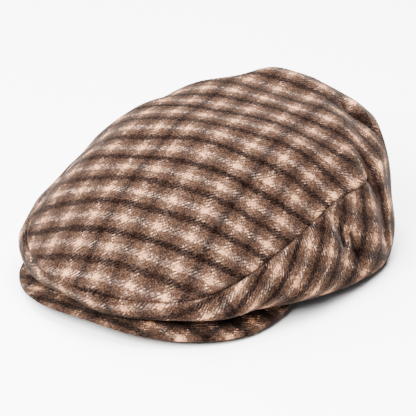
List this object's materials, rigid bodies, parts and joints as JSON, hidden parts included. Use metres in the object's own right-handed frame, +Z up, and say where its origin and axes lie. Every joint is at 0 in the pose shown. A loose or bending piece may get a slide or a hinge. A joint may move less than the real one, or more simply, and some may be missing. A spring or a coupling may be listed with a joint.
{
  "type": "flat cap",
  "caption": "Soft flat cap of checked wool cloth: a full crown gathered over a short stiff peak, a deep side band behind, open below for the head.",
  "frame": {"origin": "middle of the footprint on the surface that the cap lies on", "axes": "-Y the way the peak looks, +X towards the wearer's left, +Z up"},
  "size_m": [0.1966, 0.2305, 0.0875],
  "materials": {
    "top_cloth": "brushed wool check",
    "band_cloth": "brushed wool check",
    "peak_cloth": "brushed wool check"
  },
  "bodies": {
    "root": {"crown_top": "top_cloth", "side_band": "band_cloth", "peak": "peak_cloth"}
  },
  "joints": []
}
